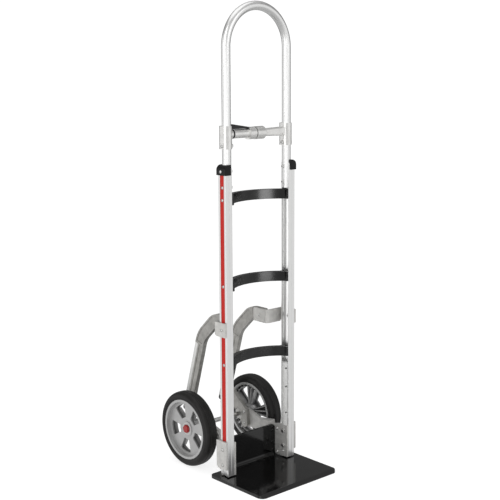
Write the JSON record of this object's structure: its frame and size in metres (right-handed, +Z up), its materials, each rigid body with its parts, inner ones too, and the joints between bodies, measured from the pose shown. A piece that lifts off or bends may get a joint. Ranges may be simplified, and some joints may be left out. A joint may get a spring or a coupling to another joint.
{
  "type": "narrow aisle hand truck",
  "caption": "Narrow upright hand truck: extruded rails, loop handle, bowed crossbars, stair climber skids and a flat nose plate for moving stacked goods.",
  "frame": {"origin": "on the floor, under the middle of the truck's length and width", "axes": "+Y to the rear, where the wheels are, +X to the side opposite the brace lever, +Z up"},
  "size_m": [0.34, 0.516, 1.524],
  "materials": {
    "extruded_aluminium": "bright satin extrusion",
    "cast_aluminium": "matt sand casting",
    "red_stripe": "gloss inlay",
    "cap_plastic": "moulded",
    "black_bar": "satin powder coat",
    "black_nose": "gloss powder coat",
    "black_plastic": "moulded",
    "plated_steel": "zinc plated",
    "bearing_steel": "ground",
    "tyre": "matt rubber",
    "grey_hub": "moulded, painted grey",
    "red_cap": "gloss",
    "nylon": "natural, slightly clear"
  },
  "bodies": {
    "frame": {"axle": "plated_steel", "axle_rings": "plated_steel", "axle_washers": "plated_steel", "brace_clamp_bolts": "plated_steel", "brace_ring": "black_plastic", "climber_bolts": "plated_steel", "crossbar_bolts": "plated_steel", "latch_lever_pin": "plated_steel", "left_brace_clamp": "cast_aluminium", "left_channel_tube": "extruded_aluminium", "left_rail": "extruded_aluminium", "left_rail_cap": "cap_plastic", "left_stair_climber": "cast_aluminium", "left_stripe": "red_stripe", "left_upper_bracket": "cast_aluminium", "left_wear_strip": "nylon", "left_wheel_bracket": "cast_aluminium", "loop_bolts": "plated_steel", "loop_handle": "extruded_aluminium", "lower_crossbar": "black_bar", "middle_crossbar": "black_bar", "nose_bolts": "black_nose", "nose_plate": "black_nose", "right_brace_clamp": "cast_aluminium", "right_channel_tube": "extruded_aluminium", "right_rail": "extruded_aluminium", "right_rail_cap": "cap_plastic", "right_stair_climber": "cast_aluminium", "right_stripe": "red_stripe", "right_upper_bracket": "cast_aluminium", "right_wear_strip": "nylon", "right_wheel_bracket": "cast_aluminium", "upper_bracket_bolts": "plated_steel", "upper_crossbar": "black_bar", "wear_strip_stops": "black_plastic", "wheel_bracket_bolts": "plated_steel"},
    "left_wheel": {"left_hub": "grey_hub", "left_tyre": "tyre", "left_hub_cap": "red_cap", "left_bearings": "bearing_steel", "left_bearing_spacer": "bearing_steel"},
    "right_wheel": {"right_hub": "grey_hub", "right_tyre": "tyre", "right_hub_cap": "red_cap", "right_bearings": "bearing_steel", "right_bearing_spacer": "bearing_steel"},
    "latch_lever": {"latch_lever": "black_plastic"}
  },
  "joints": [
    {"name": "left_wheel_spin", "type": "hinge", "parent": "frame", "child": "left_wheel", "pos_m": [-0.145, 0.131, 0.127], "axis": [1, 0, 0], "continuous": true},
    {"name": "right_wheel_spin", "type": "hinge", "parent": "frame", "child": "right_wheel", "pos_m": [0.145, 0.131, 0.127], "axis": [1, 0, 0], "continuous": true},
    {"name": "latch_lever_lift", "type": "hinge", "parent": "frame", "child": "latch_lever", "pos_m": [-0.0365, -0.055, 1.133], "axis": [0, 1, 0], "range_deg": [0, 50]}
  ]
}
